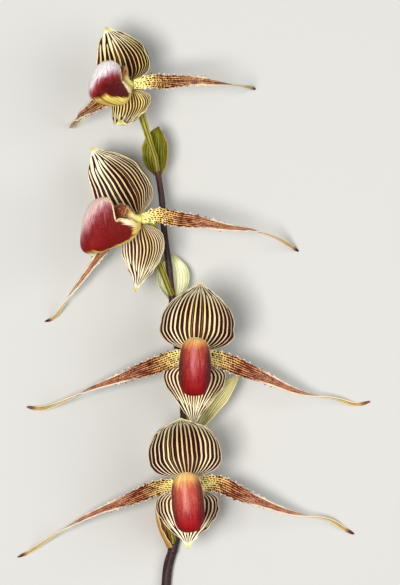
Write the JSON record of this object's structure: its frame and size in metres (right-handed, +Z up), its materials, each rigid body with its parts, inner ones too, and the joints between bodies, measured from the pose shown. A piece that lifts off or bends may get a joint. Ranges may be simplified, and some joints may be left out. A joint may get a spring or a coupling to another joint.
{
  "type": "slipper orchid flower spike",
  "caption": "Cut flower spike of a slipper orchid lying on its back: striped cupped sepals, long drooping twisted petals, pouch-shaped lips and papery bracts on a slim stem.",
  "frame": {"origin": "centre of the bounding box's underside, on the surface that the spike lies on", "axes": "+Y along the stem from its cut end towards the top bloom, +Z up, the way the blooms look"},
  "size_m": [0.2127, 0.3695, 0.0897],
  "materials": {
    "stem": "dark mauve-brown, covered with fine short hairs",
    "stalk": "yellow-green with dark maroon lines, finely hairy",
    "bract": "papery, pale green to cream, with fine darker veins",
    "sepal": "satin, ivory with dark maroon stripes",
    "petal": "satin, cream-yellow spotted with red-brown, darker beyond the middle",
    "pouch": "smooth satin, rose pink to deep red with darker veins",
    "column": "velvety, orange-yellow to red-brown"
  },
  "bodies": {
    "root": {"stem": "stem", "ovary_1": "stalk", "ovary_2": "stalk", "ovary_3": "stalk", "ovary_4": "stalk", "bract_1": "bract", "bract_2": "bract", "bract_3": "bract", "bract_4": "bract", "column_1": "column", "column_2": "column", "column_3": "column", "column_4": "column", "dorsal_sepal_1": "sepal", "dorsal_sepal_2": "sepal", "dorsal_sepal_3": "sepal", "dorsal_sepal_4": "sepal", "synsepal_1": "sepal", "synsepal_2": "sepal", "synsepal_3": "sepal", "synsepal_4": "sepal", "petal_left_1": "petal", "petal_left_2": "petal", "petal_left_3": "petal", "petal_left_4": "petal", "petal_right_1": "petal", "petal_right_2": "petal", "petal_right_3": "petal", "petal_right_4": "petal", "lip_1": "pouch", "lip_2": "pouch", "lip_3": "pouch", "lip_4": "pouch"}
  },
  "joints": []
}
